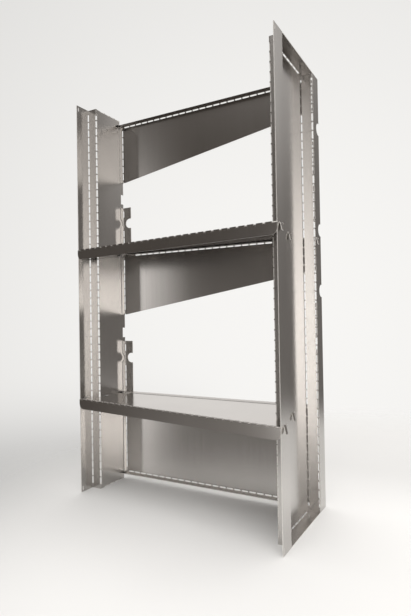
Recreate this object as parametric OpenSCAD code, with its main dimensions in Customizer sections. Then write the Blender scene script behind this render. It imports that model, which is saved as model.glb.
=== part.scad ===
// Open shelving unit of folded sheet steel, held together by bent tabs.
// X is across the front, Y is towards the back, Z is up. The origin is on the floor, under the middle of the unit.
// The back is square to the side walls and the front is slanted: the left wall is shallower than the right wall.

/* [Unit] */
// Height of the side walls
unit_height = 980; // [900:1:1080]
// Width between the outer faces of the two side walls
unit_width = 570; // [480:1:700]
// Depth of the right wall from its front edge to the back plane
right_depth = 230; // [215:1:280]
// How far the left wall's front edge stands back from the right wall's
front_slant = 86; // [0:1:100]
// Thickness of every sheet
sheet = 1.5; // [1:0.1:2]

/* [Side walls] */
// Depth of the recess on the outside of each wall
recess_depth = 27; // [20:1:40]
// Width of the strip in front of the right wall's recess
right_front_strip = 46; // [40:1:60]
// Width of the strip in front of the left wall's recess
left_front_strip = 43; // [38:1:60]
// Width of the strip behind the right wall's recess
rear_strip = 41; // [38:1:60]
// Height of each bite in the rear strip
rear_bite = 28; // [16:1:32]
// Depth of each bite in the rear strip
rear_bite_depth = 17; // [8:1:20]
// Height of each notch in the left wall's rear edge
edge_notch = 26; // [16:1:32]
// Depth of each notch in the left wall's rear edge
edge_notch_depth = 9.5; // [4:0.5:12]
// Height of the small slot at each end of a front strip
end_slot_height = 10; // [6:0.5:14]
// Width of the small slot at each end of a front strip
end_slot_width = 3; // [2:0.5:5]
// Distance of the small slot from the strip's front edge and from its end
end_slot_inset = 4; // [3:0.5:6]

/* [Shelves] */
// Height of the upper shelf's top face
upper_height = 611; // [590:1:640]
// Height of the lower shelf's top face
lower_height = 235; // [225:1:260]
// Height of the lip that is folded down at the front
lip_height = 25; // [20:1:36]
// Radius of the lip's lower corners
lip_corner = 13; // [4:1:16]
// Width of the ear that passes behind the right wall
ear_width = 14; // [10:1:24]

/* [Back sheets] */
// Distance of the top sheet's flange below the top of the walls
top_back_drop = 16; // [8:1:24]
// Height of a sheet's lower edge in the bay below it, at the left wall
left_edge_share = 0.56; // [0.5:0.01:0.62]
// Height of a sheet's lower edge in the bay below it, at the right wall
right_edge_share = 0.805; // [0.72:0.005:0.85]
// Height of the bottom sheet's lower flange above the floor
foot_gap = 16; // [8:1:24]
// Width of the flanges along the top and foot of a back sheet
back_flange = 22; // [16:1:30]
// Width of the flanges along the sides of a back sheet
side_flange = 12; // [10:1:16]
// Width of the left arms
left_arm_width = 26; // [22:1:34]
// Height of the left arms in the bay above their sheet
left_arm_share = 0.367; // [0.33:0.001:0.4]
// Height of the bites in the left arms
left_bite_share = 0.245; // [0.22:0.005:0.27]
// Width of the right arms
right_arm_width = 22; // [18:1:23]
// Height of the right arms in the bay above their sheet
right_arm_share = 0.61; // [0.55:0.01:0.65]
// Height of the bites in the right arms
right_bite_share = 0.367; // [0.34:0.001:0.4]
// Diameter of the bites in both edges of an arm
arm_bite = 26; // [20:1:28]
// Depth of the bite in the free edge of a left arm
arm_bite_depth = 17; // [12:1:18]
// Depth of the bite in the flange of a left arm
flange_bite_depth = 8; // [4:0.5:9]
// Radius of the lower left corner of the top and middle sheets
plate_corner = 6; // [2:0.5:10]
// Height of the opening beside the ear
ear_gap_height = 36; // [30:1:40]

/* [Fold lines] */
// Distance between two slots of a fold line
slot_pitch = 20; // [16:1:30]
// Length of steel left between two slots
bridge = 2.6; // [2:0.1:4]
// How far a slot reaches past the corner of the fold, on each side
slot_reach = 1.1; // [0.8:0.1:1.6]
// Length of plain corner left at each end of a fold line
fold_end = 5; // [3:0.5:10]

/* [Tabs] */
// Width of a tab
tab_width = 10; // [8:0.5:14]
// How far the bent part hangs below the slot
tab_drop = 15; // [10:0.5:20]
// How far the tip of a tab stands outside the wall
tab_reach = 7; // [5:0.5:10]
// Length of the slot that a tab goes through
tab_slot = 23; // [18:0.5:28]
// Play between a tab and its slot, and between two sheets that meet
play = 0.3; // [0.2:0.05:0.5]
// Distance of the first tab behind the front edge of a wall
first_tab = 11; // [7:1:14]
// Distance of the second tab in front of the back plane
second_tab = 100; // [70:1:110]

/* [Hidden] */
$fn = 48;

// One overrun serves every cut
over = 2 * sheet;

// Slanted front: its angle, and its unit vectors along and square to the front
slant_angle = atan(front_slant / unit_width);
front_length = unit_width / cos(slant_angle);
lip_offset = (sheet + play) / cos(slant_angle);

// The whole depth is centred on the origin
whole_depth = right_depth + rear_strip + lip_offset;
right_front = lip_offset - whole_depth / 2;
left_front = right_front + front_slant;
back_plane = right_front + right_depth;
rear_edge = back_plane + rear_strip;

// Outer faces and inner faces of the walls
right_outer = unit_width / 2;
left_outer = -unit_width / 2;
right_web = right_outer - recess_depth;
left_web = left_outer + recess_depth;
right_step = right_front + right_front_strip;
left_step = left_front + left_front_strip;

// Back sheets stand just behind the right wall's rear step
back_face = back_plane + sheet + play;
back_left = left_web + sheet + play;
back_right = right_outer - sheet - play;
web_rear = back_face + sheet;

// Level of each back sheet's flange, measured at its top face
top_back_level = unit_height - top_back_drop;
middle_back_level = upper_height - sheet - play;
bottom_back_level = lower_height + play + sheet;
foot_level = foot_gap + sheet;

// Clear heights from one back sheet's flange to the next one's
upper_bay = top_back_level - middle_back_level;
middle_bay = middle_back_level - bottom_back_level;

// Bites in the rear strip, as heights above the floor
rear_bite_levels = [
    middle_back_level + right_edge_share * upper_bay - 1.15 * rear_bite,
    upper_height + 0.7 * rear_bite,
    bottom_back_level + right_edge_share * middle_bay - 1.6 * rear_bite
];

// Notches in the left web, above each left arm
notch_rise = 0.9 * edge_notch;
notch_levels = [
    bottom_back_level + left_arm_share * middle_bay + notch_rise,
    middle_back_level + left_arm_share * upper_bay + notch_rise
];

// Tab places along the two walls
first_tab_right = right_front + first_tab;
first_tab_left = left_front + first_tab;
second_tab_place = back_plane - second_tab;
left_second_tab_place = max(second_tab_place, left_step + sheet + tab_width);
ear_tab_place = back_face + over + play;
back_tab_place = back_face - back_flange + play;

// Y of the slanted front at a given X
function front_at(x) = right_front + front_slant * (right_outer - x) / unit_width;

// Starts of the slots that fit between two ends of a fold line, centred on it
function slot_starts(from, to) =
    let (room = to - from - 2 * fold_end + bridge, count = floor(room / slot_pitch))
    [for (i = [0 : count - 1]) (from + to) / 2 + (i - count / 2) * slot_pitch + bridge / 2];

// Cuts the slots of a fold line that stands upright at a corner, where the corner's middle is at x, y
module upright_slots(x, y, from, to) {
    side = sheet + 2 * slot_reach;
    for (z = slot_starts(from, to))
        translate([x - side / 2, y - side / 2, z]) cube([side, side, slot_pitch - bridge]);
}

// Cuts the slots of a fold line that runs along Y
module deep_slots(x, z, from, to) {
    side = sheet + 2 * slot_reach;
    for (y = slot_starts(from, to))
        translate([x - side / 2, y, z - side / 2]) cube([side, slot_pitch - bridge, side]);
}

// Cuts the slots of a fold line that runs along X
module wide_slots(y, z, from, to) {
    side = sheet + 2 * slot_reach;
    for (x = slot_starts(from, to))
        translate([x, y - side / 2, z - side / 2]) cube([slot_pitch - bridge, side, side]);
}

// A tab that leaves a wall's outer face at x, towards direction (1 is right), with its top face at level
module bent_tab(x, y, level, direction) {
    root = recess_depth / 3;
    knee = sheet;
    translate([x, y + tab_width, level]) rotate([90, 0, 0]) linear_extrude(tab_width)
        polygon([
            [-direction * root, 0],
            [direction * knee, 0],
            [direction * tab_reach, -tab_drop],
            [direction * (tab_reach - sheet), -tab_drop],
            [direction * (knee - sheet / 2), -sheet],
            [-direction * root, -sheet]
        ]);
}

// The slot that a tab goes through, in a wall whose outer face is at x
module tab_hole(x, y, level, length = tab_slot) {
    translate([x - over, y - play, level - sheet - play])
        cube([2 * over, length, sheet + 2 * play]);
}

// A bite with a round end, cut from an edge at y towards the front, centred at level
module edge_bite(x, y, level, height, depth) {
    translate([x - over, y - depth + height / 2, level]) rotate([0, 90, 0]) cylinder(d = height, h = 2 * over);
    translate([x - over, y - depth + height / 2, level - height / 2])
        cube([2 * over, depth + over, height]);
}

module right_wall() {
    web_inner = right_web - sheet;
    color("#b3aaa2") difference() {
        union() {
            // front strip, step in, web, step out, rear strip
            translate([right_outer - sheet, right_front, 0]) cube([sheet, right_front_strip, unit_height]);
            translate([web_inner, right_step - sheet, 0]) cube([recess_depth + sheet, sheet, unit_height]);
            translate([web_inner, right_step - sheet, 0])
                cube([sheet, back_plane + 2 * sheet - right_step, unit_height]);
            translate([web_inner, back_plane, 0]) cube([recess_depth + sheet, sheet, unit_height]);
            translate([right_outer - sheet, back_plane, 0]) cube([sheet, rear_strip, unit_height]);
            // flanges that close the recess at the top and at the foot
            for (z = [0, unit_height - sheet])
                translate([web_inner, right_step + play, z])
                    cube([recess_depth + sheet, right_depth - right_front_strip - 2 * play, sheet]);
        }
        // fold lines
        upright_slots(right_outer - sheet / 2, right_step - sheet / 2, 0, unit_height);
        upright_slots(web_inner + sheet / 2, right_step - sheet / 2, 0, unit_height);
        upright_slots(web_inner + sheet / 2, back_plane + sheet / 2, 0, unit_height);
        upright_slots(right_outer - sheet / 2, back_plane + sheet / 2, 0, unit_height);
        for (z = [sheet / 2, unit_height - sheet / 2])
            deep_slots(web_inner + sheet / 2, z, right_step, back_plane);
        // slots for the shelves' tabs
        for (level = [upper_height, lower_height]) {
            tab_hole(right_outer, first_tab_right, level);
            tab_hole(right_web, second_tab_place, level);
        }
        tab_hole(right_outer, ear_tab_place, upper_height);
        // bites in the rear edge and small slots near the ends of the front strip
        for (level = rear_bite_levels) edge_bite(right_outer, rear_edge, level, rear_bite, rear_bite_depth);
        end_slots(right_outer, right_front);
    }
}

// Two small slots near the ends of a front strip whose outer face is near x
module end_slots(x, front) {
    for (z = [end_slot_inset, unit_height - end_slot_inset - end_slot_height])
        translate([x - over, front + end_slot_inset, z]) cube([2 * over, end_slot_width, end_slot_height]);
}

module left_wall() {
    web_depth = web_rear - left_step;
    color("#a89f97") difference() {
        union() {
            // front strip, step in, web
            translate([left_outer, left_front, 0]) cube([sheet, left_front_strip, unit_height]);
            translate([left_outer, left_step - sheet, 0]) cube([recess_depth + sheet, sheet, unit_height]);
            translate([left_web, left_step - sheet, 0]) cube([sheet, web_depth + sheet, unit_height]);
            // flanges that close the recess at the top and at the foot
            for (z = [0, unit_height - sheet])
                translate([left_outer, left_step + play, z])
                    cube([recess_depth + sheet, web_depth - play, sheet]);
        }
        // fold lines
        upright_slots(left_outer + sheet / 2, left_step - sheet / 2, 0, unit_height);
        upright_slots(left_web + sheet / 2, left_step - sheet / 2, 0, unit_height);
        for (z = [sheet / 2, unit_height - sheet / 2])
            deep_slots(left_web + sheet / 2, z, left_step, web_rear);
        // slots for the tabs of the shelves and of the back sheets
        for (level = [upper_height, lower_height]) {
            tab_hole(left_outer, first_tab_left, level);
            tab_hole(left_web, left_second_tab_place, level);
        }
        for (level = [top_back_level, middle_back_level, bottom_back_level, foot_level])
            tab_hole(left_web, back_tab_place, level, tab_width + 2 * play);
        // notches in the rear edge, one above each arm
        for (level = notch_levels)
            translate([left_web - over, web_rear - edge_notch_depth, level - edge_notch / 2])
                cube([2 * over + sheet, edge_notch_depth + over, edge_notch]);
        end_slots(left_outer, left_front);
        // the rear corners are cut away beside the ends of the top and bottom back sheets
        translate([left_outer - over, web_rear - side_flange - play, top_back_level])
            cube([recess_depth + sheet + 2 * over, side_flange + over, top_back_drop + over]);
        translate([left_outer - over, web_rear - side_flange - play, -over])
            cube([recess_depth + sheet + 2 * over, side_flange + over, foot_gap + over]);
    }
}

// The lip's outline, seen from the front: square above, with two rounded lower corners
module lip_outline() {
    translate([0, lip_corner - lip_height]) square([front_length, lip_height - lip_corner]);
    translate([lip_corner, -lip_height]) square([front_length - 2 * lip_corner, lip_height]);
    for (x = [lip_corner, front_length - lip_corner])
        translate([x, lip_corner - lip_height]) circle(r = lip_corner);
}

// A shelf whose top face is at level; the flat plate fills the space between the two walls
module shelf(level) {
    gap = sheet + play;
    front_drop = lip_offset;
    rear = back_face - play;
    difference() {
        union() {
            translate([0, 0, level - sheet]) linear_extrude(sheet) polygon([
                [right_outer - gap, front_at(right_outer - gap) - front_drop],
                [right_outer - gap, right_step - gap],
                [right_web - gap, right_step - gap],
                [right_web - gap, rear],
                [back_left + gap, rear],
                [back_left + gap, back_face + sheet - side_flange - play],
                [left_web + gap, back_face + sheet - side_flange - play],
                [left_web + gap, left_step - gap],
                [left_outer + gap, left_step - gap],
                [left_outer + gap, front_at(left_outer + gap) - front_drop]
            ]);
            // the lip, in the slanted plane of the front
            translate([right_outer, right_front - front_drop, level]) rotate([0, 0, 180 - slant_angle])
                rotate([90, 0, 0]) linear_extrude(sheet) lip_outline();
            bent_tab(right_outer, first_tab_right, level, 1);
            bent_tab(right_web, second_tab_place, level, 1);
            bent_tab(left_outer, first_tab_left, level, -1);
            bent_tab(left_web, left_second_tab_place, level, -1);
        }
        lip_slots(level);
    }
}

// Slots of the fold between a shelf and its lip
module lip_slots(level) {
    side = sheet + 2 * slot_reach;
    translate([right_outer, right_front - lip_offset, level]) rotate([0, 0, 180 - slant_angle])
        for (x = slot_starts(-play, front_length + play))
            translate([x, -sheet / 2 - side / 2, -sheet / 2 - side / 2]) cube([slot_pitch - bridge, side, side]);
}

module upper_shelf() {
    neck = right_web - sheet - play;
    color("#6e6862") {
        shelf(upper_height);
        // the ear that passes behind the right wall's rear step and ends in a tab
        translate([neck - ear_width, back_face - over, upper_height - sheet])
            cube([ear_width, ear_tab_place + tab_width - back_face + over, sheet]);
        translate([neck - ear_width, ear_tab_place, upper_height - sheet])
            cube([right_outer - sheet - play - neck + ear_width, tab_width, sheet]);
        bent_tab(right_outer, ear_tab_place, upper_height, 1);
    }
}

module lower_shelf() {
    color("#cfc6be") shelf(lower_height);
}

// A back sheet: plate in the back plane, flange along the top, side flanges and, on two of them, two arms.
// All its heights are levels above the floor; a sheet without arms has its tops at its own level
module back_sheet(level, left_foot, right_foot, left_top, right_top, ear_gap) {
    armed = left_top > level;
    arm_right = armed ? back_right - right_arm_width : back_right;
    arm_left = armed ? back_left + left_arm_width : back_left;
    flange_left = armed ? arm_left : back_left + sheet + play;
    flange_right = right_web - sheet - play;
    difference() {
        union() {
            translate([0, back_face + sheet, 0]) rotate([90, 0, 0]) linear_extrude(sheet) difference() {
                polygon([
                    [back_left, left_foot],
                    [back_right, right_foot],
                    [back_right, right_top],
                    [arm_right, right_top],
                    [arm_right, level],
                    [arm_left, level],
                    [arm_left, left_top],
                    [back_left, left_top]
                ]);
                // the lower corner at the left wall is rounded
                if (left_foot < right_foot) translate([back_left, left_foot]) difference() {
                    translate([-plate_corner, -plate_corner])
                        square([2 * plate_corner + sheet, 2 * plate_corner]);
                    translate([plate_corner + sheet, plate_corner + sheet / 2]) circle(r = plate_corner);
                }
            }
            // flange along the top, folded to the front
            translate([flange_left, back_face + sheet - back_flange, level - sheet])
                cube([flange_right - flange_left, back_flange, sheet]);
            // side flanges: to the front at the left wall, to the back at the right wall
            translate([back_left, back_face + sheet - side_flange, left_foot])
                cube([sheet, side_flange, left_top - left_foot]);
            translate([back_right - sheet, back_face, right_foot])
                cube([sheet, side_flange, right_top - right_foot]);
        }
        upright_slots(back_left + sheet / 2, back_face + sheet / 2, left_foot, level);
        upright_slots(back_right - sheet / 2, back_face + sheet / 2, right_foot, level);
        wide_slots(back_face + sheet / 2, level - sheet / 2, flange_left, flange_right);
        if (armed) {
            left_bite = level + left_bite_share / left_arm_share * (left_top - level);
            right_bite = level + right_bite_share / right_arm_share * (right_top - level);
            upright_slots(back_left + sheet / 2, back_face + sheet / 2, level, left_bite - arm_bite / 3);
            upright_slots(back_left + sheet / 2, back_face + sheet / 2, left_bite + arm_bite / 3, left_top);
            upright_slots(back_right - sheet / 2, back_face + sheet / 2, right_bite + arm_bite / 2, right_top);
            upright_slots(back_right - sheet / 2, back_face + sheet / 2, level + ear_gap, right_bite - arm_bite / 2);
            // the left arm has a bite in its free edge and one in its flange
            translate([arm_left - arm_bite_depth + arm_bite / 2, back_face - over, left_bite]) {
                rotate([-90, 0, 0]) cylinder(d = arm_bite, h = 3 * over);
                translate([0, 0, -arm_bite / 2]) cube([arm_bite_depth, 3 * over, arm_bite]);
            }
            translate([
                back_left - over,
                back_face + sheet - side_flange + flange_bite_depth - arm_bite / 2,
                left_bite
            ])
                rotate([0, 90, 0]) cylinder(d = arm_bite, h = 3 * over);
            // the right arm's bite is centred on its fold
            translate([back_right, back_face - over, right_bite]) rotate([-90, 0, 0])
                cylinder(d = arm_bite, h = 3 * over + side_flange);
        }
        // the fold and the flange are cut away where the shelf's ear passes
        if (ear_gap > 0)
            translate([back_right - over, back_face - over, level - over])
                cube([2 * over, side_flange + 2 * over, ear_gap + over]);
    }
}

// The tab at the left end of a back sheet's flange, with the tongue that carries it past the side flange
module back_tab(level) {
    tongue = left_arm_width + sheet;
    translate([back_left - play - sheet / 2, back_tab_place, level - sheet])
        cube([tongue, tab_width - 2 * play, sheet]);
    bent_tab(left_web, back_tab_place, level, -1);
}

module top_back() {
    left_foot = middle_back_level + left_edge_share * upper_bay;
    right_foot = middle_back_level + right_edge_share * upper_bay;
    color("#5b5550") {
        back_sheet(top_back_level, left_foot, right_foot, top_back_level, top_back_level, 0);
        back_tab(top_back_level);
    }
}

module middle_back() {
    left_foot = bottom_back_level + left_edge_share * middle_bay;
    right_foot = bottom_back_level + right_edge_share * middle_bay;
    left_top = middle_back_level + left_arm_share * upper_bay;
    right_top = middle_back_level + right_arm_share * upper_bay;
    color("#8d8680") {
        back_sheet(middle_back_level, left_foot, right_foot, left_top, right_top, ear_gap_height);
        back_tab(middle_back_level);
    }
}

module bottom_back() {
    left_top = bottom_back_level + left_arm_share * middle_bay;
    right_top = bottom_back_level + right_arm_share * middle_bay;
    color("#9d958e") {
        back_sheet(bottom_back_level, foot_level, foot_level, left_top, right_top, 0);
        back_tab(bottom_back_level);
        // flange along the foot, folded to the front
        difference() {
            translate([back_left, back_face + sheet - back_flange, foot_gap])
                cube([right_web - sheet - play - back_left, back_flange, sheet]);
            wide_slots(back_face + sheet / 2, foot_gap + sheet / 2, back_left, right_web);
        }
        bent_tab(left_web, back_tab_place, foot_level, -1);
    }
}

right_wall();
left_wall();
upper_shelf();
lower_shelf();
top_back();
middle_back();
bottom_back();
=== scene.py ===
import math

import bmesh
import bpy
import numpy as np
from mathutils import Matrix


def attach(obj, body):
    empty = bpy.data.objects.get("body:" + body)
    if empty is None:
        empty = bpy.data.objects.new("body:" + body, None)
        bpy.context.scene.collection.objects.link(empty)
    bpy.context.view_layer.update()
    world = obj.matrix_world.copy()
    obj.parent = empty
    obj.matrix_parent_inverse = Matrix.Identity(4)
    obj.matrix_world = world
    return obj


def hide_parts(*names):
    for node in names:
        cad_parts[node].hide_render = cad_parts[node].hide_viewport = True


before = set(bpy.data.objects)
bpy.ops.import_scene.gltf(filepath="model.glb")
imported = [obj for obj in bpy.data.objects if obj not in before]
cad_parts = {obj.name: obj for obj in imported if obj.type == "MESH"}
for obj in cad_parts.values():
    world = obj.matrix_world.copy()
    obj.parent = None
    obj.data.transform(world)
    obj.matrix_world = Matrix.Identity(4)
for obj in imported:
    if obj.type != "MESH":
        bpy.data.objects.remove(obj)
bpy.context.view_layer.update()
print("frame loaded:", len(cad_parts), "sheets")


# camera, at the photograph's angle: the unit is seen from the front right, a little below its middle
cameraSettings = {
    "place": (0.6152, -0.9912, 0.4398),
    "yaw": 29.451,  # degrees, turned from +Y towards -X
    "pitch": 0.856,
    "roll": -0.923,
    "focalPixels": 499.0,
    "imageHeight": 616,
    "sensor": 36.0,
    "clip": (0.01, 100.0),
}


def makeCamera(values):
    # looks along (-sin yaw * cos pitch, cos yaw * cos pitch, sin pitch), and then rolls about that line
    yaw, pitch, roll = (math.radians(values[k]) for k in ("yaw", "pitch", "roll"))
    forward = np.array([-math.sin(yaw) * math.cos(pitch), math.cos(yaw) * math.cos(pitch), math.sin(pitch)])
    level = np.array([math.cos(yaw), math.sin(yaw), 0.0])
    upright = np.cross(level, forward)
    right = level * math.cos(roll) + upright * math.sin(roll)
    up = upright * math.cos(roll) - level * math.sin(roll)
    turned = np.eye(4)
    turned[:3, 0], turned[:3, 1], turned[:3, 2], turned[:3, 3] = right, up, -forward, values["place"]
    lens = bpy.data.cameras.new("camera")
    lens.sensor_width = values["sensor"]
    lens.lens = values["focalPixels"] / values["imageHeight"] * values["sensor"]
    lens.clip_start, lens.clip_end = values["clip"]
    camera = bpy.data.objects.new("camera", lens)
    bpy.context.scene.collection.objects.link(camera)
    camera.matrix_world = Matrix(turned.tolist())
    bpy.context.scene.camera = camera


makeCamera(cameraSettings)
bpy.context.scene.view_settings.view_transform = "Standard"  # greys as they are, with no film curve
print("camera placed")


def feed(tree, node, inputs):
    # each input takes another node's output, or else a plain value
    for socket, value in inputs.items():
        if isinstance(value, bpy.types.NodeSocket):
            tree.links.new(value, node.inputs[socket])
        else:
            node.inputs[socket].default_value = value


def addNode(tree, kind, inputs, **options):
    # a new shader node with its options set and its inputs fed
    made = tree.nodes.new("ShaderNode" + kind)
    for option, value in options.items():
        setattr(made, option, value)
    feed(tree, made, inputs)
    return made


def newFinish(name):
    # a material with its tree, its own shader and the object's coordinates
    made = bpy.data.materials.new(name)
    made.use_nodes = True
    tree = made.node_tree
    return made, tree, tree.nodes["Principled BSDF"], addNode(tree, "TexCoord", {}).outputs["Object"]


# studio: a pale floor that fades into a pale room, lit by soft patches of light that only the steel mirrors
studioSettings = {
    "floorRadius": 7.0,
    "floorGrid": (12, 96),  # rings and spokes
    "floorColour": (0.855, 0.855, 0.85),
    "floorRoughness": 0.9,
    "floorMiddle": (0.40, 0.22, 0.0),
    "floorFade": (0.65, 1.25),  # metres from there, where the floor starts and ends its fade
    "floorLeftPaintedShade": (0.10, -0.60, 0.64),  # painted shade along X: where the colour starts and ends to dim, least share
    "floorBackPaintedShade": (0.12, 0.50, 0.83),  # painted shade, the same along Y, behind the unit
    "backdrop": (0.935, 0.925, 0.905, 1),
    "backdropFade": ((-0.32, 0.94, -0.02), 0.62, 0.80),  # brightest direction, sideways fall, least share
    # soft shade where wall and floor meet on the left: direction, start, width, rise, its spread, depth
    "backdropShade": ((-0.743, 0.669, 0.0), 0.93, 0.06, -0.29, 0.10, 0.35),
    "evenLight": ((1.0, 0.88, 0.78, 1), 0.10),  # colour and strength of the light from everywhere
    "patchColour": (1.0, 0.988, 0.972, 1),
    # patches: bearing in degrees from the front towards the right, half-width, rise, its spread, strength
    "patches": {
        "windowNear": (19, 6.5, -0.03, 0.32, 4.2),
        "windowRight": (48.5, 9.5, 0.01, 0.22, 2.1),
        "windowRightTall": (48.5, 9.5, 0.0, 0.55, 1.15),
        "frontWall": (-12, 18, -0.06, 0.08, 0.26),
        "frontHigh": (20, 45, 0.74, 0.17, 2.6),
        "frontLeft": (-32, 6, 0.07, 0.17, 1.55),
        "frontLeftLow": (-47, 9, -0.10, 0.14, 0.14),
        "backRightHigh": (150, 10, 0.42, 0.20, 0.88),
        "backRight": (150, 18, 0.0, 0.30, 0.12),
        "paper": (205, 30, 0.20, 0.60, 0.85),
        "paperLow": (209, 16, -0.13, 0.09, 0.55),
        "sideRight": (95, 28, 0.25, 0.45, 0.30),
        "sideLeft": (-105, 28, 0.25, 0.45, 0.30),
    },
    "overhead": (0.30, 1.7),  # spread of the rise, and strength
}


def makeFloor(values):
    # a disc: ring k of n is a circle at (k / n)^2 of the radius, joined ring to ring
    rings, spokes = values["floorGrid"]
    radius = values["floorRadius"] * (np.arange(1, rings + 1) / rings) ** 2
    turn = 2 * np.pi * np.arange(spokes) / spokes
    points = radius[:, None, None] * np.stack([np.cos(turn), np.sin(turn), np.zeros(spokes)], -1)
    here = np.arange(spokes)
    near = np.arange(rings - 1)[:, None] * spokes
    after = (here + 1) % spokes
    corners = near + here, near + spokes + here, near + spokes + after, near + after
    quads = np.stack(corners, -1).reshape(-1, 4)
    mesh = bpy.data.meshes.new("floor")
    mesh.from_pydata(points.reshape(-1, 3).tolist(), [], [here.tolist()] + quads.tolist())
    floor = bpy.data.objects.new("floor", mesh)
    bpy.context.scene.collection.objects.link(floor)

    # its colour dims to the left and to the back as painted shade, and far out the floor lets the backdrop
    # show
    paint, tree, shader, place = newFinish("floorPaintAndShade")

    def easedRange(source, start, end, first, last):
        # runs smoothly from first, where the source is start, to last, where it is end
        ends = {"Value": source, "From Min": start, "From Max": end, "To Min": first, "To Max": last}
        return addNode(tree, "MapRange", ends, interpolation_type="SMOOTHSTEP").outputs["Result"]

    axes = addNode(tree, "SeparateXYZ", {"Vector": place})
    colour = values["floorColour"]
    # painted shade: the colour is scaled down towards the left and the back, standing in for the shade there
    for axis, key in (("X", "floorLeftPaintedShade"), ("Y", "floorBackPaintedShade")):
        start, end, least = values[key]
        share = easedRange(axes.outputs[axis], start, end, 1.0, least)
        scaled = addNode(tree, "VectorMath", {0: colour, "Scale": share}, operation="SCALE")
        colour = scaled.outputs["Vector"]
    feed(tree, shader, {"Base Color": colour, "Roughness": values["floorRoughness"]})
    far = addNode(tree, "VectorMath", {0: place, 1: values["floorMiddle"]}, operation="DISTANCE")
    fade = easedRange(far.outputs["Value"], *values["floorFade"], 0.0, 1.0)
    clear = addNode(tree, "BsdfTransparent", {})
    mix = addNode(tree, "MixShader", {"Fac": fade, 1: shader.outputs["BSDF"], 2: clear.outputs["BSDF"]})
    feed(tree, tree.nodes["Material Output"], {"Surface": mix.outputs["Shader"]})
    floor.data.materials.append(paint)


def makeRoom(values):
    # light by direction d: even light + overhead * bell(d.z) + for each patch strength * bell(cosine of the
    # angle between the bearings) * bell(d.z), where bell(x) = exp(-((x - centre) / spread)^2)
    world = bpy.data.worlds.new("studioRoom")
    world.use_nodes = True
    tree = world.node_tree
    way = addNode(tree, "TexCoord", {}).outputs["Generated"]

    def maths(operation, first, second=0.0):
        # one step of arithmetic on two outputs or numbers
        return addNode(tree, "Math", {0: first, 1: second}, operation=operation).outputs[0]

    def vectorMaths(operation, first, second, output):
        # the same on two directions
        return addNode(tree, "VectorMath", {0: first, 1: second}, operation=operation).outputs[output]

    def bell(value, centre, spread):
        # exp(-((value - centre) / spread)^2)
        off = maths("DIVIDE", maths("SUBTRACT", value, centre), spread)
        return maths("EXPONENT", maths("MULTIPLY", maths("MULTIPLY", off, off), -1.0))

    height = addNode(tree, "SeparateXYZ", {"Vector": way}).outputs["Z"]
    level = vectorMaths("MULTIPLY", way, (1, 1, 0), "Vector")
    bearing = vectorMaths("NORMALIZE", level, (0, 0, 0), "Vector")
    spread, strength = values["overhead"]
    total = maths("MULTIPLY", bell(height, 1.0, spread), strength)
    for turn, wide, rise, tall, strength in values["patches"].values():
        turn, wide = math.radians(turn), math.radians(wide)
        towards = vectorMaths("DOT_PRODUCT", bearing, (math.sin(turn), -math.cos(turn), 0), "Value")
        patch = maths("MULTIPLY", bell(towards, 1.0, 1 - math.cos(wide)), bell(height, rise, tall))
        total = maths("ADD", maths("MULTIPLY", patch, strength), total)
    room = tree.nodes["Background"]
    feed(tree, room, {"Color": values["patchColour"], "Strength": total})
    colour, strength = values["evenLight"]
    even = addNode(tree, "Background", {"Color": colour, "Strength": strength})
    both = addNode(tree, "AddShader", {0: room.outputs[0], 1: even.outputs[0]})

    # what the camera sees: 1 - fall * (1 - cosine of the angle from the brightest direction), never under the
    # least share, times 1 - depth * bell(d.z) * share of the way to the shaded side
    brightest, fall, least = values["backdropFade"]
    fading = maths("MULTIPLY", vectorMaths("DOT_PRODUCT", way, brightest, "Value"), fall)
    fading = maths("MAXIMUM", maths("ADD", fading, 1 - fall), least)
    side, start, width, rise, spread, depth = values["backdropShade"]
    aside = vectorMaths("DOT_PRODUCT", bearing, side, "Value")
    reach = maths("MULTIPLY", maths("SUBTRACT", aside, start), 1 / width)
    reach = maths("MINIMUM", maths("MAXIMUM", reach, 0.0), 1.0)
    shade = maths("MULTIPLY", maths("MULTIPLY", bell(height, rise, spread), reach), -depth)
    shown = maths("MULTIPLY", fading, maths("ADD", shade, 1.0))
    seen = addNode(tree, "Background", {"Color": values["backdrop"], "Strength": shown})
    ray = addNode(tree, "LightPath", {}).outputs["Is Camera Ray"]
    pick = addNode(tree, "MixShader", {"Fac": ray, 1: both.outputs[0], 2: seen.outputs[0]})
    feed(tree, tree.nodes["World Output"], {"Surface": pick.outputs["Shader"]})
    bpy.context.scene.world = world


makeFloor(studioSettings)
makeRoom(studioSettings)
print("studio made")


def colourRamp(tree, source, stops, colours):
    # runs from the first colour at the first stop to the second colour at the second
    ramp = addNode(tree, "ValToRGB", {"Fac": source})
    for step, at, colour in zip(ramp.color_ramp.elements, stops, colours):
        step.position, step.color = at, (*colour, 1)
    return ramp.outputs["Color"]


# raw rolled steel: warm grey, semi-gloss, with faint rolling lines upwards and slow waves in the sheet
rollingSettings = {
    "clouds": ((1, 1, 0.5), 5.0, 4.0),  # stretch, scale and detail of the slow changes in tone
    "cloudStops": (0.3, 0.7),
    "cloudDark": 0.9,  # share of the colour in the darker clouds
    "lines": ((160, 160, 1.2), 3.0, 3.0),
    "lineRoughness": 0.08,  # how much the lines change the roughness
    "lineBump": (0.06, 0.0001),  # strength and height
    "waveStretch": (1, 1, 0.35),
    "waveBump": (1.0, 0.0006),
    "grainTurn": 0.25,
}


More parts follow.
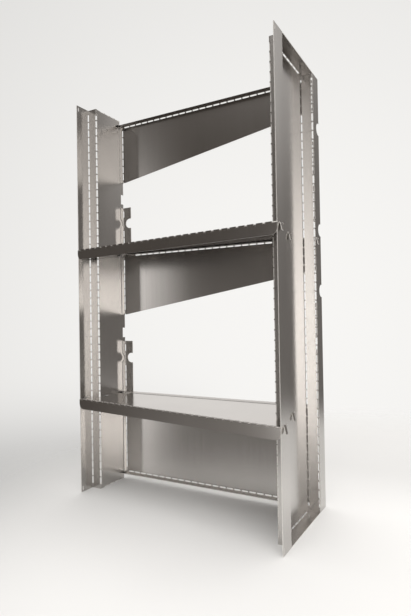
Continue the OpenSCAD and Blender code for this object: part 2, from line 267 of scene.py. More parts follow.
def rolledSteel(name, colour, roughness, waves, lean=(0, 0, 0), grain=0.0):
    # tone = colour * cloud; roughness = given + depth * (lines - 1/2);
    # the normal follows the sheet's lean, then the slow waves, then the rolling lines
    values = rollingSettings
    made, tree, shader, place = newFinish(name)

    def noise(stretch, scale, detail):
        # noise at the object's coordinates * stretch * scale
        turned = addNode(tree, "Mapping", {"Vector": place, "Scale": stretch})
        inputs = {"Vector": turned.outputs["Vector"], "Scale": scale, "Detail": detail}
        return addNode(tree, "TexNoise", inputs).outputs["Fac"]

    def bump(height, strength, distance, under=None):
        # tilts the normal by the slope of the height, on top of the bump under it
        inputs = {"Height": height, "Strength": strength, "Distance": distance}
        if under is not None:
            inputs["Normal"] = under
        return addNode(tree, "Bump", inputs).outputs["Normal"]

    lines = noise(*values["lines"])
    darker = tuple(part * values["cloudDark"] for part in colour)
    depth = values["lineRoughness"]
    rough = addNode(tree, "Math", {0: lines, 1: depth, 2: roughness - depth / 2}, operation="MULTIPLY_ADD")
    under = None
    if any(lean):  # a steady slope: a hand-folded sheet stands a few degrees off square
        slope = addNode(tree, "VectorMath", {0: place, 1: lean}, operation="DOT_PRODUCT")
        under = bump(slope.outputs["Value"], 1.0, 1.0)
    under = bump(noise(values["waveStretch"], waves, 1.0), *values["waveBump"], under)
    feed(tree, shader, {
        "Base Color": colourRamp(tree, noise(*values["clouds"]), values["cloudStops"], (darker, colour)),
        "Roughness": rough.outputs[0],
        "Normal": bump(lines, *values["lineBump"], under),
        "Metallic": 1.0,
        "Anisotropic": grain,  # upright sheets blur what they reflect more up and down
        "Anisotropic Rotation": values["grainTurn"],
    })
    return made


# laser-cut rims: duller than the rolled faces, with fine lines across the thickness; their brighter tone is
# partly painted highlight, so every rim reads as an edge catching light
cutAndHighlightSettings = {
    # both tones sit above the rolled steel's colour: partly the rims' own cut finish, partly painted
    # highlight along every edge
    "dark": (0.60, 0.575, 0.55),
    "light": (0.86, 0.84, 0.81),
    "stops": (0.35, 0.6),
    "metallic": 0.55,
    "roughness": 0.45,
    "lineScale": 900.0,  # lines per metre, about
    "lineBump": (0.3, 0.0002),
}


def cutEdgeAndHighlight(name, values):
    # tone and relief both follow one fine noise
    made, tree, shader, place = newFinish(name)
    noise = addNode(tree, "TexNoise", {"Vector": place, "Scale": values["lineScale"], "Detail": 1.0})
    lines = noise.outputs["Fac"]
    strength, distance = values["lineBump"]
    relief = addNode(tree, "Bump", {"Height": lines, "Strength": strength, "Distance": distance})
    feed(tree, shader, {
        "Base Color": colourRamp(tree, lines, values["stops"], (values["dark"], values["light"])),
        "Metallic": values["metallic"],
        "Roughness": values["roughness"],
        "Normal": relief.outputs["Normal"],
    })
    return made


# what all sheets share, in millimetres; a fold is a row of slots with short bridges of bent steel between
sheetSettings = {
    "thickness": 1.5,
    "bendRadius": 1.5,  # to the middle of the sheet
    "bendSteps": 6,
    "slotPitch": 20.0,
    "bridge": 2.6,
    "slotPast": 1.4,  # how far a slot reaches past the bend on each side
    "slotRound": 0.9,
    "foldEnd": 5.0,
    "flangeSlotPast": 1.3,
    "flangeRoot": 2.0,  # how far off its bend a flange's own grid starts
    "cell": 22.0,  # widest cell of a grid
    "bendMargin": 0.2,  # grid points closer to a bend than this belong to it
    "edgeStep": 0.01,  # a second grid line this near to a cut keeps its corner sharp
    "bitePoints": 13,
    "mergeWithin": 2e-7,  # metres
    "flatUnder": 1e-7,  # metres
    "sharpAngle": 35.0,
}
beyond = 1e4  # past every edge
hair = 1e-3  # less than any real step
thick = sheetSettings["thickness"]
xWay, yWay, zWay = (1, 0, 0), (0, 1, 0), (0, 0, 1)


def foldPath(corners, radius):
    # straight runs joined by arcs that touch both, each as long as radius * turn;
    # a piece is its start, end, first point, direction and curvature
    corners = np.array(corners, float)
    runs = np.diff(corners, axis=0)
    lengths = np.hypot(runs[:, 0], runs[:, 1])
    ways = runs / lengths[:, None]
    before, after = ways[:-1], ways[1:]
    turns = np.arctan2(before[:, 0] * after[:, 1] - before[:, 1] * after[:, 0], (before * after).sum(1))
    cuts = np.concatenate([[0], radius * np.tan(np.abs(turns) / 2), [0]])
    pieces, folds, here = [], [], 0.0
    for k, way in enumerate(ways):
        length = lengths[k] - cuts[k] - cuts[k + 1]
        pieces.append((here, here + length, corners[k] + way * cuts[k], way, 0.0))
        here += length
        if k < len(turns):
            arc = radius * abs(turns[k])
            pieces.append((here, here + arc, corners[k + 1] - way * cuts[k + 1], way, turns[k] / arc))
            folds.append((here, here + arc))
            here += arc
    return {"pieces": pieces, "folds": folds, "length": here}


def alongPath(path, u):
    # point and left-hand normal at distance u: on an arc the way turns by curvature * distance
    u = np.clip(u, 0, path["length"])
    point, facing = np.zeros(u.shape + (2,)), np.zeros(u.shape + (2,))
    for start, end, first, way, curve in path["pieces"]:
        here = (u >= start - 1e-9) & (u <= end + 1e-9)
        run = (u[here] - start)[:, None]
        left = np.array([-way[1], way[0]])
        turn = curve * run
        ahead = np.sin(turn) / curve if curve else run
        aside = (1 - np.cos(turn)) / curve if curve else 0 * run
        point[here] = first + ahead * way + aside * left
        facing[here] = np.cos(turn) * left - np.sin(turn) * way
    return point, facing


def spaced(marks, widest):
    # the marks in order, to four decimals, with every gap cut into equal steps no wider than asked
    marks = np.unique(np.round(marks, 4))
    gaps = np.diff(marks)
    counts = np.maximum(1, np.ceil(gaps / widest - 1e-6)).astype(int)
    order = np.arange(counts.sum()) - np.repeat(np.cumsum(counts) - counts, counts)
    return np.append(np.repeat(marks[:-1], counts) + order * np.repeat(gaps / counts, counts), marks[-1])


def slotStarts(start, end, bridge=sheetSettings["bridge"]):
    # as many slots as fit between the fold's plain ends, each from
    # middle of the fold + (k - count / 2) * pitch + half a bridge
    pitch = sheetSettings["slotPitch"]
    count = int((end - start - 2 * sheetSettings["foldEnd"] + bridge) // pitch)
    return (start + end) / 2 + (np.arange(count) - count / 2) * pitch + bridge / 2


def foldedGrid(path, start, end, folds=(), uMarks=(), vMarks=(), past=sheetSettings["slotPast"],
               bridge=sheetSettings["bridge"]):
    # a grid over the path (u) and the length of the sheet (v), with lines on every bend, slot and mark
    values = sheetSettings
    opening = values["slotPitch"] - bridge
    u = [0.0, path["length"], *uMarks]
    v = [start, end, *vMarks]
    for first, last in path["folds"]:
        u += [first - past, *np.linspace(first, last, values["bendSteps"] + 1), last + past]
    for _, low, high in folds:
        starts = slotStarts(low, high, bridge)
        v += [*starts, *(starts + opening)]
    u, v = np.array(u), np.array(v)
    u = spaced(u[(u >= 0) & (u <= path["length"])], values["cell"])
    v = spaced(v[(v >= start) & (v <= end)], values["cell"])
    gridU, gridV = np.meshgrid(u, v)
    keep = np.ones((len(v) - 1, len(u) - 1), bool)
    midU, midV = (u[1:] + u[:-1]) / 2, (v[1:] + v[:-1]) / 2
    for fold, low, high in folds:
        first, last = path["folds"][fold]
        middle, half = (first + last) / 2, (last - first) / 2 + past
        starts = slotStarts(low, high, bridge)
        across = np.abs(midU - middle) < half
        inSlot = ((midV[:, None] > starts) & (midV[:, None] < starts + opening)).any(1)
        keep &= ~(inSlot[:, None] & across[None, :])
        # rounded ends: the end lines bow into the slot towards its sides
        aside = np.clip((u - middle) / half, -1, 1)
        beside = np.abs(u - middle) <= half + 1e-6
        bow = np.where(beside, values["slotRound"] * (1 - np.sqrt(1 - aside**2)), 0)
        begins = np.isclose(v[:, None], starts, atol=2e-4).any(1)
        ends = np.isclose(v[:, None], starts + opening, atol=2e-4).any(1)
        gridV = gridV + np.outer(begins, bow) - np.outer(ends, bow)
    return gridU, gridV, keep, midU, midV


def cutOut(keep, midU, midV, uFrom, uTo, vFrom, vTo):
    # drops the cells whose middle lies in the rectangle
    keep &= ~(((midV > vFrom) & (midV < vTo))[:, None] & ((midU > uFrom) & (midU < uTo))[None, :])


def biteDepth(v, level, height, depth):
    # depth of a bite with a round end, at each v: a half circle of the bite's height, then straight sides
    away = np.clip(np.abs(v - level) / (height / 2), 0, 1)
    inside = np.abs(v - level) <= height / 2
    return np.where(inside, depth - height / 2 * (1 - np.sqrt(1 - away**2)), 0)


def biteMarks(level, height):
    # grid lines at equal turns of the half circle, and one just outside each end of it
    turn = np.linspace(-np.pi / 2, np.pi / 2, sheetSettings["bitePoints"])
    outside = height / 2 + sheetSettings["edgeStep"]
    return [*(level + height / 2 * np.sin(turn)), level - outside, level + outside]


def sheetSolid(middle, facing, keep):
    # two faces half the thickness to each side of the middle surface, and a rim wherever a kept cell has no
    # neighbour; gives the points, the faces and how many faces come before the rims
    half = thick / 2
    a, b, c, d = middle[:-1, :-1], middle[:-1, 1:], middle[1:, 1:], middle[1:, :-1]
    keep = keep & (np.linalg.norm(np.cross(c - a, d - b), axis=-1) > 1e-4)
    index = np.arange(middle[..., 0].size).reshape(middle.shape[:2])
    a, b, c, d = index[:-1, :-1], index[:-1, 1:], index[1:, 1:], index[1:, :-1]
    size = index.size
    around = np.pad(keep, 1)
    faces = [np.stack([a, b, c, d], -1)[keep], np.stack([d, c, b, a], -1)[keep] + size]
    sides = (
        (a, b, around[:-2, 1:-1]), (b, c, around[1:-1, 2:]),
        (c, d, around[2:, 1:-1]), (d, a, around[1:-1, :-2]),
    )
    for first, second, beside in sides:
        edge = keep & ~beside
        faces.append(np.stack([second, first, first + size, second + size], -1)[edge])
    points = np.concatenate([middle + facing * half, middle - facing * half]).reshape(-1, 3)
    return points, np.concatenate(faces), 2 * int(keep.sum())


def carried(path, gridU, gridV, keep, origin, first, second, along, share=1.0):
    # the path lies in the plane of first and second, and is carried along the third direction;
    # share is how much of the thickness is left, and what is taken off comes from the right-hand face
    flat, turned = alongPath(path, gridU)
    first, second, along = (np.array(way, float) for way in (first, second, along))
    middle = origin + flat[..., :1] * first + flat[..., 1:] * second + gridV[..., None] * along
    facing = turned[..., :1] * first + turned[..., 1:] * second
    share = np.broadcast_to(share, gridU.shape)[..., None]
    return sheetSolid(middle + facing * (1 - share) * thick / 2, facing * share, keep)


def levelSheet(x, y, level, cuts=(), front=None):
    # a level plate under the given height, on a grid of x and y where no y is less than front(x)
    gridX, gridY = np.meshgrid(x, y)
    if front is not None:
        gridY = np.maximum(gridY, front(gridX))
    keep = np.ones((len(y) - 1, len(x) - 1), bool)
    for cut in cuts:
        cutOut(keep, (x[1:] + x[:-1]) / 2, (y[1:] + y[:-1]) / 2, *cut)
    middle = np.stack([gridX, gridY, np.full_like(gridX, level - thick / 2)], -1)
    return sheetSolid(middle, np.broadcast_to(np.array(zWay, float), middle.shape), keep)


def joinSheets(name, solids):
    # one mesh in metres: doubles merged, faces turned outwards, edges over the sharp angle kept sharp;
    # the cut rims take the second material
    allPoints, allFaces, allSides = zip(*solids)
    offsets = np.cumsum([0] + [len(points) for points in allPoints[:-1]])
    points = np.concatenate(allPoints) / 1000
    faces = np.concatenate([faces + offset for faces, offset in zip(allFaces, offsets)])
    isRim = np.concatenate([np.arange(len(faces)) >= sides for faces, sides in zip(allFaces, allSides)])
    values = sheetSettings
    mesh = bpy.data.meshes.new(name)
    mesh.from_pydata(points.tolist(), [], faces.tolist())
    mesh.polygons.foreach_set("material_index", isRim.astype(np.int32))
    work = bmesh.new()
    work.from_mesh(mesh)
    bmesh.ops.remove_doubles(work, verts=work.verts, dist=values["mergeWithin"])
    bmesh.ops.dissolve_degenerate(work, edges=work.edges, dist=values["flatUnder"])
    loose = [point for point in work.verts if not point.link_faces]
    bmesh.ops.delete(work, geom=loose, context="VERTS")
    bmesh.ops.recalc_face_normals(work, faces=work.faces)
    work.to_mesh(mesh)
    work.free()
    mesh.polygons.foreach_set("use_smooth", np.ones(len(mesh.polygons), bool))
    mesh.set_sharp_from_angle(angle=math.radians(values["sharpAngle"]))
    piece = bpy.data.objects.new(name, mesh)
    bpy.context.scene.collection.objects.link(piece)
    return piece


# places that several sheets share, in millimetres, as on the solid part
unitSettings = {
    "height": 980.0,
    "outer": 285.0,  # half the width over the side walls
    "recess": 27.0,
    "rightFront": -134.59,
    "slant": 86.0,  # how far the left wall's front edge stands back
    "backPlane": 95.41,
    "rearEdge": 136.41,
    "frontStrips": {"right": 46.0, "left": 43.0},
    "play": 0.3,
    "shelfLevels": {"upper": 611.0, "lower": 235.0},
    "topDrop": 16.0,
    "footGap": 16.0,
    "sideFlange": 12.0,  # of the back sheets
    "edgeShares": (0.56, 0.805),  # height of a back sheet's lower edge in the bay below it, left and right
    "leftArmShare": 0.367,
    "leftBiteShare": 0.245,
    "rightArmShare": 0.61,
    "rightBiteShare": 0.367,
}
unit = unitSettings
play = unit["play"]
gap = thick + play
leftFront = unit["rightFront"] + unit["slant"]
rightStep = unit["rightFront"] + unit["frontStrips"]["right"]
leftStep = leftFront + unit["frontStrips"]["left"]
webX = unit["outer"] - unit["recess"]  # outer face of both webs, to either side
backFace = unit["backPlane"] + gap
webRear = backFace + thick
topLevel = unit["height"] - unit["topDrop"]
middleLevel = unit["shelfLevels"]["upper"] - gap
bottomLevel = unit["shelfLevels"]["lower"] + gap
footLevel = unit["footGap"] + thick
backLeft, backRight = -webX + gap, unit["outer"] - gap
flangeRight = webX - gap
upperBay, middleBay = topLevel - middleLevel, middleLevel - bottomLevel


# bent tabs: a sheet's tab goes through the wall's slot and hangs down outside it
tabSettings = {
    "width": 10.0,
    "drop": 16.0,
    "reach": 5.4,
    "slot": 23.0,
    "inside": 9.0,  # how far a tab starts inside the wall's face
    "bendOut": 1.2,  # where it bends, outside that face
    "bend": 1.6,
    "tipCorner": 3.0,
    "tipNarrow": 0.8,  # share of the corner that each side draws in
    "roundPoints": 6,
    "acrossPoints": 9,
    "cell": 5.0,
    "tongueCell": 10.0,
    "firstTab": 11.0,
    "secondTab": 100.0,
    "backFlange": 22.0,
}
tabs = tabSettings
rightTabPlaces = (unit["rightFront"] + tabs["firstTab"], unit["backPlane"] - tabs["secondTab"])
leftTabPlaces = (
    leftFront + tabs["firstTab"],
    max(unit["backPlane"] - tabs["secondTab"], leftStep + thick + tabs["width"]),
)
earTabPlace = backFace + 2 * thick + play
backTabPlace = backFace - tabs["backFlange"] + play


def bentTab(face, y, level, way):
    # a strip that leaves the wall's face level, bends and hangs down outside it;
    # over its last few millimetres the width narrows by a quarter circle
    half, corner, points = thick / 2, tabs["tipCorner"], tabs["roundPoints"]
    corners = [(-tabs["inside"], -half), (tabs["bendOut"], -half), (tabs["reach"] - half, -tabs["drop"])]
    path = foldPath(corners, tabs["bend"])
    length = path["length"]
    tip = length - corner * (1 - np.sin(np.linspace(0, np.pi / 2, points)))
    u = spaced([0, *np.linspace(*path["folds"][0], points), *tip], tabs["cell"])
    gridU, gridV = np.meshgrid(u, np.linspace(0, 1, tabs["acrossPoints"]))
    near = np.clip((gridU - (length - corner)) / corner, 0, 1)
    narrow = corner * (1 - np.sqrt(1 - near**2)) * tabs["tipNarrow"]
    gridV = narrow + gridV * (tabs["width"] - 2 * narrow)
    keep = np.ones((gridU.shape[0] - 1, gridU.shape[1] - 1), bool)
    return carried(path, gridU, gridV, keep, (face, y, level), (way, 0, 0), zWay, yWay)


# both side walls
wallSettings = {
    "endSlot": (4.0, 3.0, 10.0),  # inset, width and height of the small slot at each end of a front strip
}


def shelfHoles(places):
    # the slots for a wall's shelf tabs: at each level one in the front strip and one in the web
    parts = tuple(zip(("strip", "web"), places))
    return [(part, y, tabs["slot"], level) for level in unit["shelfLevels"].values() for part, y in parts]


def sideWall(side, corners, strip, rear, frontPlace, holes, bites, notches):
    # one sheet from its front edge to its rear edge, folded in and out; flanges close the recess at its ends
    radius, margin, height = sheetSettings["bendRadius"], sheetSettings["bendMargin"], unit["height"]
    path = foldPath(corners, radius)
    folds = [(k, 0, height) for k in range(len(path["folds"]))]

    def along(part, y):
        # u at a place y on the front strip, the web or the rear strip: from the end of the fold before it
        if part == "strip":
            return y - corners[0][1]
        fold = {"web": 1, "rear": 3}[part]
        return path["folds"][fold][1] + (y - corners[fold + 1][1]) - radius

    inset, slotWide, slotTall = wallSettings["endSlot"]
    ends = [(inset, inset + slotTall), (height - inset - slotTall, height - inset)]
    first = along("strip", frontPlace + inset)
    cuts = [(first, first + slotWide, low, high) for low, high in ends]
    for part, y, length, level in holes:
        first = along(part, y - play)
        cuts.append((first, first + length, level - thick - play, level + play))
    uMarks = [value for hole in cuts for value in hole[:2]]
    vMarks = [value for hole in cuts for value in hole[2:]]
    for level, tall, _ in bites:
        vMarks += biteMarks(level, tall)
    step = sheetSettings["edgeStep"]
    for low, high, depth in notches:
        vMarks += [low, low + step, high - step, high]
        uMarks.append(path["length"] - depth)
    gridU, gridV, keep, midU, midV = foldedGrid(path, 0, height, folds, uMarks, vMarks)
    for hole in cuts:
        cutOut(keep, midU, midV, *hole)
    for bite in bites:
        gridU = np.minimum(gridU, path["length"] - biteDepth(gridV, *bite))
    for low, high, depth in notches:
        cutOut(keep, midU, midV, path["length"] - depth, beyond, low, high)
    # between its bends the web stops where the bends of its flanges start
    bend = radius + thick / 2 + sheetSettings["flangeRoot"]
    webEnd = path["folds"][2][0] - margin if len(folds) > 2 else beyond
    isWeb = (gridU > path["folds"][1][1] + margin) & (gridU < webEnd)
    gridV = np.where(isWeb, np.clip(gridV, bend, height - bend), gridV)
    solids = [carried(path, gridU, gridV, keep, (0, 0, 0), xWay, yWay, zWay)]
    webPlace, outer = corners[2][0], side * unit["outer"]
    slots = [(0, strip, unit["backPlane"] if side > 0 else webRear)]
    for edge, inner in ((thick / 2, bend), (height - thick / 2, height - bend)):
        flange = foldPath([(webPlace, inner), (webPlace, edge), (outer, edge)], radius)
        grid = foldedGrid(flange, strip + play, rear, slots, past=sheetSettings["flangeSlotPast"])
        solids.append(carried(flange, *grid[:3], (0, 0, 0), xWay, zWay, yWay))
    return solids


rightWallSettings = {
    "biteLevels": (862.614, 630.6, 491.782),
    "bite": (28.0, 17.0),  # height and depth
}


def makeRightWall(values):
    # front strip, step in, web, step out and rear strip, with round-ended bites in the rear edge
    half = thick / 2
    out, web = unit["outer"] - half, webX - half
    corners = [
        (out, unit["rightFront"]), (out, rightStep - half), (web, rightStep - half),
        (web, unit["backPlane"] + half), (out, unit["backPlane"] + half), (out, unit["rearEdge"]),
    ]
    holes = shelfHoles(rightTabPlaces) + [("rear", earTabPlace, tabs["slot"], unit["shelfLevels"]["upper"])]
    bites = [(level, *values["bite"]) for level in values["biteLevels"]]
    return sideWall(1, corners, rightStep, unit["backPlane"] - play, unit["rightFront"], holes, bites, [])


leftWallSettings = {
    "notch": (26.0, 9.5),  # height and depth
    "rise": 23.4,  # of a notch's middle above the arm
}


def makeLeftWall(values):
    # front strip, step in and web, with a notch in the rear edge above each arm,
    # and room at both ends of that edge for the back sheets' side flanges
    half, ending = thick / 2, unit["sideFlange"] + play
    out, web = -unit["outer"] + half, -webX + half
    corners = [(out, leftFront), (out, leftStep - half), (web, leftStep - half), (web, webRear)]
    holes = shelfHoles(leftTabPlaces)
    for level in (topLevel, middleLevel, bottomLevel, footLevel):
        holes.append(("web", backTabPlace, tabs["width"] + 2 * play, level))
    tall, deep = values["notch"]
    notches = []
    for start, bay in ((bottomLevel, middleBay), (middleLevel, upperBay)):
        middle = start + unit["leftArmShare"] * bay + values["rise"]
        notches.append((middle - tall / 2, middle + tall / 2, deep))
    notches += [(topLevel, unit["height"], ending), (0, unit["footGap"], ending)]
    return sideWall(-1, corners, leftStep, webRear - ending, leftFront, holes, [], notches)


# shelves: a plate between the walls and a lip along the slanted front
shelfSettings = {
    "lip": 25.0,
    "lipCorner": 13.0,
    "cornerPoints": 8,
    "behindLip": 6.0,  # where the plate's grid takes over from the lip's
    "ear": 14.0,
    "earCell": 12.0,
    "bendRadius": 2.6,
    "slotPast": 1.1,  # the shelves' slots and bridges are wider
    "bridge": 4.4,
    "toothInset": 0.35,
    "toothNarrow": 0.5,  # how much a tooth's upper corners draw in
    "toothFoot": 0.02,
    "toothTop": 0.1,
}


def makeShelf(level, ear):
    # the whole front runs along a line turned by slant = atan(how far the left wall stands back / width)
    values, half = shelfSettings, thick / 2
    radius, bridge, corner = values["bendRadius"], values["bridge"], values["lipCorner"]
    slant = math.atan(unit["slant"] / (2 * unit["outer"]))
    length = 2 * unit["outer"] / math.cos(slant)
    offset = gap / math.cos(slant)
    along = np.array([-math.cos(slant), math.sin(slant), 0])
    deep = np.array([math.sin(slant), math.cos(slant), 0])
    start = np.array([unit["outer"], unit["rightFront"] - offset, 0])

    # lip: from the plate over the bend and down, its lower corners quarter circles
    corners = [(values["behindLip"], level - half), (half, level - half), (half, level - values["lip"])]
    path = foldPath(corners, radius)
    cornerMarks = path["length"] - corner * (1 - np.sin(np.linspace(0, np.pi / 2, values["cornerPoints"])))
    gridU, gridV, keep, _, _ = foldedGrid(
        path, 0, length, [(0, -play, length + play)], cornerMarks.tolist(), [corner, length - corner],
        values["slotPast"], bridge,
    )
    near = np.clip((gridU - (path["length"] - corner)) / corner, 0, 1)
    inset = corner * (1 - np.sqrt(1 - near**2))
    inset = np.where(gridU < path["folds"][0][0] - sheetSettings["bendMargin"], offset, inset)
    gridV = np.clip(gridV, inset, length - inset)
    solids = [carried(path, gridU, gridV, keep, start, deep, zWay, along)]

    # at each slot the lip's cut edge stands straight up to the plate's level, so the edge looks toothed
    rise = level - half - radius - values["slotPast"] + values["toothFoot"]
    tooth = foldPath([(half, rise), (half, level - values["toothTop"])], radius)
    starts = slotStarts(-play, length + play, bridge)
    ends = starts + sheetSettings["slotPitch"] - bridge
    v = np.stack([starts + values["toothInset"], ends - values["toothInset"]], -1).ravel()
    gridU, gridV = np.meshgrid(np.linspace(0, tooth["length"], 3), v)
    gridV += np.where(np.arange(len(v)) % 2, -1, 1)[:, None] * np.array([0, 0, values["toothNarrow"]])
    keep = np.repeat(np.arange(len(v) - 1)[:, None] % 2 == 0, 2, 1)
    solids.append(carried(tooth, gridU, gridV, keep, start, deep, zWay, along))

    # plate: front line y = start + tan(slant) * (start - x) + the lip's own depth, notched round the walls
    def front(x):
        return start[1] + math.tan(slant) * (start[0] - x) + values["behindLip"] / math.cos(slant)

    rear, leftNotch = backFace - play, backFace + thick - unit["sideFlange"] - play
    neck, wide = webX - gap, unit["outer"] - gap
    x = spaced([-wide, -neck, backLeft + gap, neck, wide], sheetSettings["cell"])
    y = spaced([start[1], rightStep - gap, leftStep - gap, leftNotch, rear], sheetSettings["cell"])
    notches = (
        (neck, beyond, rightStep - gap, beyond), (-beyond, -neck, leftStep - gap, beyond),
        (-neck, backLeft + gap, leftNotch, beyond),
    )
    solids.append(levelSheet(x, y, level, notches, front))
    if ear:  # a neck behind the plate and an arm that passes behind the right wall's step
        x = spaced([neck - values["ear"], neck, wide], values["earCell"])
        y = spaced([rear, earTabPlace, earTabPlace + tabs["width"]], tabs["cell"])
        solids.append(levelSheet(x, y, level, [(neck, beyond, -beyond, earTabPlace)]))
        solids.append(bentTab(unit["outer"], earTabPlace, level, 1))
    for way, places in ((1, rightTabPlaces), (-1, leftTabPlaces)):
        solids += [bentTab(way * face, y, level, way) for face, y in zip((unit["outer"], webX), places)]
    return solids


# back sheets: a plate with a slanted lower edge, a flange to the front, side flanges and, on two, arms
backSettings = {
    "flange": 22.0,
    "leftArm": 26.0,
    "rightArm": 22.0,
    "bite": 26.0,
    "biteDepth": 17.0,
    "flangeBite": 8.0,
    "plateCorner": (1.5, 6.0),  # start past the left flange, and radius
    "cornerPoints": 6,
    "cornerShare": 0.9,
    "earGap": 36.0,
    "armMark": 4.0,  # a grid line this far before the right flange's length
    "tonguePast": 2.0,  # how far the left tab's tongue reaches over the top flange
    "tipTaper": 7.0,  # the front edges of the top flanges are filed down over this length, to this share
    "tipShare": 0.12,
}


def makeBack(level, leftFoot, rightFoot, leftTop, rightTop, earGap=0, foot=False):
    # lower edge = left foot + (right foot - left foot) * share of the width; arms stand up at both sides
    values, half = backSettings, thick / 2
    side, bite, radius = unit["sideFlange"], values["bite"], sheetSettings["bendRadius"]
    armed, slanted = leftTop > level, leftFoot < rightFoot
    y = backFace + half
    corners = [
        (backLeft + half, backFace + thick - side), (backLeft + half, y), (backRight - half, y),
        (backRight - half, backFace + side),
    ]
    path = foldPath(corners, radius)
    plate, plateEnd = path["folds"][0][1], path["folds"][1][0]

    def onPlate(x):
        # u at a place x on the plate: from the end of the left bend
        return plate + (x - corners[1][0]) - radius

    leftEdge = backLeft + values["leftArm"] if armed else backLeft + gap
    armLeft, flangeEnd = onPlate(leftEdge), onPlate(flangeRight)
    armRight = onPlate(backRight - values["rightArm"] if armed else flangeRight)
    top, bend = max(leftTop, rightTop), radius + half + sheetSettings["flangeRoot"]
    leftBite = level + unit["leftBiteShare"] / unit["leftArmShare"] * (leftTop - level)
    rightBite = level + unit["rightBiteShare"] / unit["rightArmShare"] * (rightTop - level)
    past, cornerRadius = values["plateCorner"]
    cornerStart = onPlate(backLeft + thick + past)
    folds = [(0, leftFoot, level), (1, rightFoot, level)]
    uMarks = [armLeft, armRight, flangeEnd]
    vMarks = [level, level - bend, leftTop, rightTop, leftFoot, rightFoot]
    if armed:
        folds += [(0, level, leftBite - bite / 3), (0, leftBite + bite / 3, leftTop)]
        folds += [(1, rightBite + bite / 2, rightTop), (1, level + earGap, rightBite - bite / 2)]
        uMarks += [armLeft - values["biteDepth"], path["length"] - side - values["armMark"]]
        vMarks += biteMarks(leftBite, bite) + biteMarks(rightBite, bite)
    if earGap:
        vMarks += [level - 2 * thick, level + earGap]
    if slanted:
        turn = np.linspace(0, np.pi / 2, values["cornerPoints"])
        uMarks += (cornerStart + cornerRadius * (1 - np.cos(turn))).tolist()
    gridU, gridV, keep, midU, midV = foldedGrid(path, min(leftFoot, rightFoot), top, folds, uMarks, vMarks)

    def cut(*rectangle):
        # drops the cells of this sheet's grid that lie in the rectangle
        cutOut(keep, midU, midV, *rectangle)

    low = leftFoot + (rightFoot - leftFoot) * np.clip((gridU - plate) / (plateEnd - plate), 0, 1)
    if slanted:  # the lower corner at the left wall is rounded
        near = np.clip(1 - (gridU - cornerStart) / cornerRadius, 0, 1)
        rounding = cornerRadius * (1 - np.sqrt(1 - near**2)) * values["cornerShare"]
        low = np.where(gridU > plate + sheetSettings["bendMargin"], low + rounding, low)
    gridV = np.maximum(gridV, low)
    cut(armLeft, flangeEnd, level - bend, beyond)
    if armed:
        cut(flangeEnd, armRight, level, beyond)
        cut(-beyond, armLeft, leftTop, beyond)
        cut(armRight, beyond, rightTop, beyond)
        # left arm: a round-ended bite in the free edge and a shallow one in the flange
        isArm = (gridU <= armLeft + hair) & (gridV > level)
        edge = armLeft - biteDepth(gridV, leftBite, bite, values["biteDepth"])
        gridU = np.where(isArm, np.minimum(gridU, edge), gridU)
        away = np.clip(np.abs(gridV - leftBite) / (bite / 2), 0, 1)
        shallow = np.maximum(bite / 2 * np.sqrt(1 - away**2) - (bite / 2 - values["flangeBite"]), 0)
        gridU = np.where(isArm, np.maximum(gridU, shallow), gridU)
        # right arm: a bite centred on the fold, which takes the flange and half a circle of the plate
        cut(plateEnd, beyond, rightBite - bite / 2, rightBite + bite / 2)
        away = np.clip(np.abs(gridV - rightBite) / (bite / 2), 0, 1)
        inBite = (np.abs(gridV - rightBite) <= bite / 2) & (gridU > armRight) & (gridU <= plateEnd + hair)
        edge = plateEnd - bite / 2 * np.sqrt(1 - away**2)
        gridU = np.where(inBite, np.minimum(gridU, edge), gridU)
    else:
        cut(-beyond, beyond, level, beyond)
    if earGap:
        cut(plateEnd - radius, beyond, level - 2 * thick, level + earGap)
    if foot:
        isFoot = (gridU > plate + half) & (gridU < flangeEnd)
        gridV = np.where(isFoot, np.maximum(gridV, unit["footGap"] + bend), gridV)
    solids = [carried(path, gridU, gridV, keep, (0, 0, 0), xWay, yWay, zWay)]

    # flange along the top, thinner towards its front edge, and on the bottom sheet one along the foot
    front, slotPast = backFace + thick - values["flange"], sheetSettings["flangeSlotPast"]
    flange = foldPath([(y, level - bend), (y, level - half), (front, level - half)], radius)
    tip = flange["length"] - values["tipTaper"]
    grid = foldedGrid(flange, leftEdge, flangeRight, [(0, leftEdge, flangeRight)], [tip], past=slotPast)
    share = 1 - (1 - values["tipShare"]) * np.clip((grid[0] - tip) / values["tipTaper"], 0, 1)
    solids.append(carried(flange, *grid[:3], (0, 0, 0), yWay, zWay, xWay, share))
    tongue = spaced([backLeft - play - half, leftEdge + values["tonguePast"]], tabs["tongueCell"])
    across = spaced([backTabPlace, backTabPlace + tabs["width"] - 2 * play], tabs["cell"])
    solids += [levelSheet(tongue, across, level), bentTab(-webX, backTabPlace, level, -1)]
    if foot:
        edge = unit["footGap"] + half
        flange = foldPath([(y, unit["footGap"] + bend), (y, edge), (front, edge)], radius)
        grid = foldedGrid(flange, backLeft, flangeRight, [(0, backLeft, webX)], past=slotPast)
        solids.append(carried(flange, *grid[:3], (0, 0, 0), yWay, zWay, xWay))
        solids.append(bentTab(-webX, backTabPlace, footLevel, -1))
    return solids


def edgesBelow(start, bay):
    # heights of a back sheet's lower edge, left and right: start of the bay + share * height of the bay
    return [start + share * bay for share in unit["edgeShares"]]


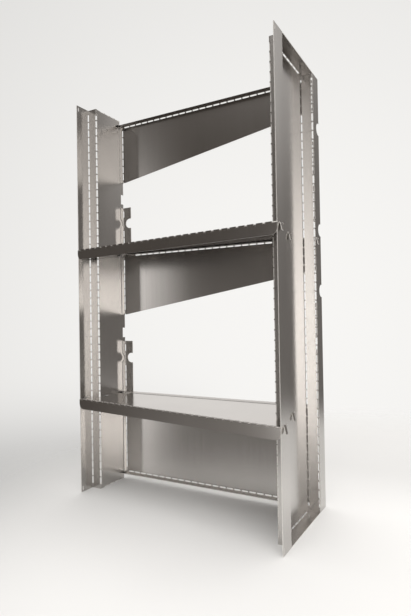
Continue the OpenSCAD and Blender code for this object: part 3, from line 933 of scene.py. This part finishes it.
def armsAbove(start, bay):
    # heights of its arms' tops, left and right: the same with their own shares of the bay above it
    return [start + unit[key] * bay for key in ("leftArmShare", "rightArmShare")]


shelfLevels = unit["shelfLevels"]
topEdges, middleEdges = edgesBelow(middleLevel, upperBay), edgesBelow(bottomLevel, middleBay)
middleArms, bottomArms = armsAbove(middleLevel, upperBay), armsAbove(bottomLevel, middleBay)
sheets = {
    "right_wall": makeRightWall(rightWallSettings),
    "left_wall": makeLeftWall(leftWallSettings),
    "upper_shelf": makeShelf(shelfLevels["upper"], ear=True),
    "lower_shelf": makeShelf(shelfLevels["lower"], ear=False),
    "top_back": makeBack(topLevel, *topEdges, topLevel, topLevel),
    "middle_back": makeBack(middleLevel, *middleEdges, *middleArms, earGap=backSettings["earGap"]),
    "bottom_back": makeBack(bottomLevel, footLevel, footLevel, *bottomArms, foot=True),
}

# each sheet's steel: lean is the slope of a hand-folded sheet, grain its blur along the height
steelColour = (0.56, 0.54, 0.52)
steelSettings = {
    "right_wall": {"colour": steelColour, "roughness": 0.20, "waves": 6.0, "grain": 0.8},
    "left_wall": {"colour": steelColour, "roughness": 0.20, "waves": 6.0, "grain": 0.8},
    "upper_shelf": {"colour": steelColour, "roughness": 0.17, "waves": 5.0, "lean": (0, 0, -0.09)},
    "lower_shelf": {"colour": (0.575, 0.55, 0.525), "roughness": 0.17, "waves": 5.0, "lean": (0, 0, -0.09)},
    "top_back": {
        "colour": steelColour, "roughness": 0.15, "waves": 5.0, "lean": (-0.07, 0, 0), "grain": 0.6,
    },
    "middle_back": {
        "colour": steelColour, "roughness": 0.19, "waves": 5.0, "lean": (-0.07, 0, 0), "grain": 0.8,
    },
    "bottom_back": {
        "colour": steelColour, "roughness": 0.19, "waves": 5.0, "lean": (-0.07, 0, -0.12), "grain": 0.8,
    },
}
cutSteelAndHighlight = cutEdgeAndHighlight("cutEdgeAndHighlight", cutAndHighlightSettings)
for node, values in steelSettings.items():
    piece = joinSheets(node + "Sheet", sheets[node])
    piece.data.materials.append(rolledSteel(node + "Steel", **values))
    piece.data.materials.append(cutSteelAndHighlight)
    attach(piece, "root")
    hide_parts(node)
    print(node, "made:", len(piece.data.polygons), "faces")
